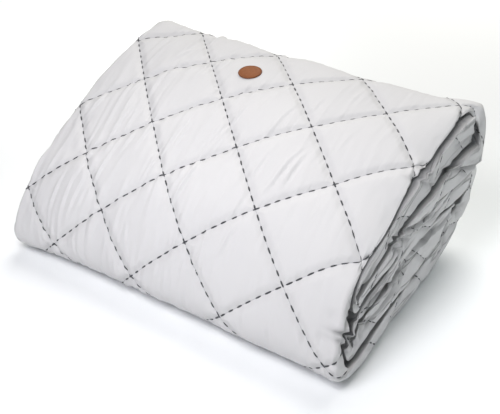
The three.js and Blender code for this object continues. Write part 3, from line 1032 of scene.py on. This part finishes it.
# A bump is a strength and a height, and a noise is a scale, a detail and a distortion.
clothFinish = {
    "color": (0.685, 0.676, 0.676, 1),
    "shade": (0.634, 0.626, 0.630, 1),
    "toneNoise": (9.0, 3.0, 0.0),
    "seamColor": (0.42, 0.42, 0.45, 1),
    "seamShare": 0.75,
    "seamWidth": 0.0007,
    "seamSoft": 0.2,
    # painted shade: the dark colour that slots, creases and crinkle lines are darkened towards
    "paintedShadeColor": (0.05, 0.052, 0.058, 1),
    "slotShade": 0.72,      # how much of the painted shade colour lies deep in a slot
    # how much of it lies in a crease of the right end, also painted shade
    "creaseShade": 0.75,
    "roughness": 0.9,
    "sheen": 0.10,
    "sheenRoughness": 0.5,
    "specular": 0.25,
    "weaveScale": 1600.0,
    "weaveBump": (0.05, 0.0003),
    "fineStretch": (1.0, 0.12, 1.0),
    "fineNoise": (120.0, 2.0, 0.4),
    "fineReach": 0.022,     # fine puckers are strongest at a seam and weakest this far from it
    "fineStrength": (1.0, 0.3),
    "fineHeight": 0.0016,
    "grooveWidth": 0.009,   # on each side of a seam
    "grooveSoft": 0.6,
    "grooveBump": (0.9, 0.0032),
}

# Thin crinkles on the bands at the two ends, but not on the spine and the top: bumps in the material,
# darkened along their lines with painted shade.
crinkles = {
    "across": (0.262, 0.274),       # they come in between these distances from the bundle's middle
    "along": (0.33, 0.37),          # and between these from the middle of the spine and the top
    "stretch": (1.0, 0.08, 1.0),
    "noise": (40.0, 1.0, 0.8),
    "width": 0.035,                 # of a line, in the noise's own measure
    # painted shade along a crinkle line
    "shade": 0.42,
    "bump": (0.8, 0.0020),
}


def crinkleLines(sheet, cloth):
    spot = sheet.split(cloth)
    onEnd = sheet.ramp(sheet.math("ABSOLUTE", spot[0]), *crinkles["across"])
    middle = float(spine + highTurn) / 2
    fromTop = sheet.math("ABSOLUTE", sheet.math("SUBTRACT", spot[1], middle))
    inBand = sheet.math("MULTIPLY", onEnd, sheet.ramp(fromTop, *crinkles["along"]))
    drawn = sheet.stretch(cloth, crinkles["stretch"])
    drift = sheet.noise(drawn, *crinkles["noise"])
    away = sheet.math("ABSOLUTE", sheet.math("SUBTRACT", drift, 0.5))
    return sheet.math("MULTIPLY", sheet.ramp(away, 0.0, crinkles["width"], 1.0, 0.0), inBand)


def clothMaterial():
    sheet = NodeSheet("quilted_cotton")
    cloth, seams, shades = sheet.uv("cloth"), sheet.split(sheet.uv("seams")), sheet.split(sheet.uv("shades"))
    distances = [sheet.math("PINGPONG", seams[k], 0.5) for k in (0, 1)]
    nearest = sheet.math("MULTIPLY", sheet.math("MINIMUM", *distances), diamondSide)
    crinkle = crinkleLines(sheet, cloth)

    thin = sheet.math("DIVIDE", nearest, clothFinish["seamWidth"])
    line = sheet.math("SUBTRACT", 1.0, sheet.math("SMOOTH_MIN", thin, 1.0, clothFinish["seamSoft"]))
    tone = sheet.noise(cloth, *clothFinish["toneNoise"])
    plain = sheet.mix(tone, clothFinish["shade"], clothFinish["color"])
    sewn = sheet.mix(sheet.math("MULTIPLY", line, clothFinish["seamShare"]), plain, clothFinish["seamColor"])
    # Painted shade: the cloth's colour is darkened in the slots between layers, in the creases of the right
    # end and along the crinkle lines.
    deep = sheet.math("MAXIMUM", sheet.math("MULTIPLY", shades[0], clothFinish["slotShade"]),
                      sheet.math("MULTIPLY", shades[1], clothFinish["creaseShade"]))
    deep = sheet.math("MAXIMUM", deep, sheet.math("MULTIPLY", crinkle, crinkles["shade"]))
    sheet.feed("Base Color", sheet.mix(deep, sewn, clothFinish["paintedShadeColor"]))
    sheet.feed("Roughness", clothFinish["roughness"])
    sheet.feed("Sheen Weight", clothFinish["sheen"])
    sheet.feed("Sheen Roughness", clothFinish["sheenRoughness"])
    sheet.feed("Specular IOR Level", clothFinish["specular"])

    weave = sheet.node("ShaderNodeTexChecker", {"Vector": cloth, "Scale": clothFinish["weaveScale"]})[1]
    stretched = sheet.stretch(cloth, clothFinish["fineStretch"])
    fine = sheet.noise(stretched, *clothFinish["fineNoise"])
    pucker = sheet.ramp(nearest, 0.0, clothFinish["fineReach"], *clothFinish["fineStrength"])
    wide = sheet.math("DIVIDE", nearest, clothFinish["grooveWidth"])
    groove = sheet.math("SMOOTH_MIN", wide, 1.0, clothFinish["grooveSoft"])
    bumps = sheet.bump(weave, *clothFinish["weaveBump"])
    bumps = sheet.bump(fine, pucker, clothFinish["fineHeight"], bumps)
    bumps = sheet.bump(groove, *clothFinish["grooveBump"], bumps)
    bumps = sheet.bump(crinkle, *crinkles["bump"], bumps, invert=True)
    sheet.feed("Normal", bumps)
    return sheet.material


threadFinish = {
    "dark": (0.022, 0.024, 0.028, 1),
    "light": (0.075, 0.078, 0.085, 1),
    "twistTurn": 0.6,       # radians
    "twistScale": 450.0,
    "distortion": 0.6,
    "roughness": 0.7,
    "sheen": 0.2,
    "bump": (0.5, 0.0003),
}


def threadMaterial():
    sheet = NodeSheet("graphite_thread")
    turned = sheet.node("ShaderNodeMapping",
                        {"Vector": sheet.uv("thread"), "Rotation": (0, 0, threadFinish["twistTurn"])})[0]
    twist = sheet.node("ShaderNodeTexWave", {"Vector": turned, "Scale": threadFinish["twistScale"],
                                             "Distortion": threadFinish["distortion"]})[1]
    sheet.feed("Base Color", sheet.mix(twist, threadFinish["dark"], threadFinish["light"]))
    sheet.feed("Roughness", threadFinish["roughness"])
    sheet.feed("Sheen Weight", threadFinish["sheen"])
    sheet.feed("Normal", sheet.bump(twist, *threadFinish["bump"]))
    return sheet.material


leatherFinish = {
    "dark": (0.185, 0.058, 0.016, 1),
    "light": (0.315, 0.112, 0.038, 1),
    "rim": (0.14, 0.042, 0.013, 1),
    "rimReach": (0.80, 0.99),       # shares of the radius
    "rimShare": 0.7,
    "blotchNoise": (3.5, 4.0, 0.0),
    "grainScale": 26.0,
    "roughness": 0.6,
    "specular": 0.15,
    "bump": (0.3, 0.0003),
}


def leatherMaterial():
    sheet = NodeSheet("tan_leather")
    disc = sheet.uv("disc")
    reach = sheet.node("ShaderNodeVectorMath", {0: disc}, operation="LENGTH")[1]
    grain = sheet.node("ShaderNodeTexVoronoi", {"Vector": disc, "Scale": leatherFinish["grainScale"]})[0]
    blotch = sheet.noise(disc, *leatherFinish["blotchNoise"])
    plain = sheet.mix(blotch, leatherFinish["dark"], leatherFinish["light"])
    rim = sheet.ramp(reach, *leatherFinish["rimReach"], 0.0, leatherFinish["rimShare"])
    sheet.feed("Base Color", sheet.mix(rim, plain, leatherFinish["rim"]))
    sheet.feed("Roughness", leatherFinish["roughness"])
    sheet.feed("Specular IOR Level", leatherFinish["specular"])
    sheet.feed("Normal", sheet.bump(grain, *leatherFinish["bump"]))
    return sheet.material


bedspread.data.materials.append(clothMaterial())
stitches.data.materials.append(threadMaterial())
leatherLabel.data.materials.append(leatherMaterial())
print("materials set")

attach(bedspread, "root")
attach(stitches, "root")
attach(leatherLabel, "root")
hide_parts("bedspread")
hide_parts("label")

studio = {
    "floorColor": (0.950, 0.964, 0.970, 1),
    "floorRoughness": 0.9,
    "floorHalf": 6.0,
    "floorDrop": 0.0004,
    "cameraFromCrossing": (0.4191, -0.6158, 0.6141),   # the crossing on the front shoulder, at floor level
    "lens": 50,
    "sensor": 36,
    "tilt": 59.0,
    "turn": 34.709,
    "airColor": (0.90, 0.985, 1.0, 1),
    "air": 0.05,
    "lamps": [  # name, watts, size, where it hangs, what it is aimed at, colour, beam in degrees
        ("key_softbox", 4.1, 0.5, (0.0, -0.85, 0.80), (0.0, -0.05, 0.15), (0.925, 0.925, 1.0), 180),
        ("near_softbox", 4.5, 0.4, (0.08, -0.55, 0.85), (0.0, -0.05, 0.15), (1.0, 0.992, 1.0), 180),
        ("back_softbox", 117.0, 3.4, (-0.6, 2.4, 2.6), (0.0, 0.3, 0.0), (1.0, 0.985, 0.945), 180),
        ("right_fill", 2.0, 0.8, (1.25, -0.25, 0.42), (0.27, 0.05, 0.10), (0.93, 0.98, 1.0), 180),
        ("floor_left", 2.2, 0.6, (-1.05, 0.55, 1.1), (-1.05, 0.55, 0.0), (1.0, 1.0, 1.0), 75),
        ("floor_right", 0.9, 0.6, (0.8, 0.25, 1.1), (0.8, 0.25, 0.0), (0.90, 0.98, 1.0), 60),
    ],
}


def makeStudio():
    scene = bpy.context.scene
    half = studio["floorHalf"]
    corners = [(-half, -half, 0), (half, -half, 0), (half, half, 0), (-half, half, 0)]
    floorData = bpy.data.meshes.new("floor")
    floorData.from_pydata(corners, [], [(0, 1, 2, 3)])
    floor = bpy.data.objects.new("floor", floorData)
    floor.location.z = -studio["floorDrop"]
    scene.collection.objects.link(floor)
    sheet = NodeSheet("pale_floor")
    sheet.feed("Base Color", studio["floorColor"])
    sheet.feed("Roughness", studio["floorRoughness"])
    floorData.materials.append(sheet.material)

    def softbox(name, energy, size, spot, target, color, beam):
        lamp = bpy.data.lights.new(name, "AREA")
        lamp.energy = energy
        lamp.spread = math.radians(beam)
        lamp.size = size
        lamp.color = color
        lamp.shape = "DISK"
        holder = bpy.data.objects.new(name, lamp)
        holder.location = spot
        holder.rotation_euler = (Vector(target) - Vector(spot)).to_track_quat("-Z", "Y").to_euler()
        scene.collection.objects.link(holder)

    for lampSettings in studio["lamps"]:
        softbox(*lampSettings)

    world = bpy.data.worlds.new("studio_air")
    world.use_nodes = True
    backdrop = world.node_tree.nodes["Background"]
    backdrop.inputs["Color"].default_value = studio["airColor"]
    backdrop.inputs["Strength"].default_value = studio["air"]
    scene.world = world

    lensData = bpy.data.cameras.new("camera")
    lensData.lens = studio["lens"]
    lensData.sensor_width = studio["sensor"]
    camera = bpy.data.objects.new("camera", lensData)
    crossing = (offset[0] + quilting["crossing"], offset[1], 0)
    camera.location = [c + d for c, d in zip(crossing, studio["cameraFromCrossing"])]
    camera.rotation_euler = (math.radians(studio["tilt"]), 0, math.radians(studio["turn"]))
    scene.collection.objects.link(camera)
    scene.camera = camera
    scene.view_settings.view_transform = "Standard"
    scene.view_settings.look = "None"


makeStudio()
print("studio set")
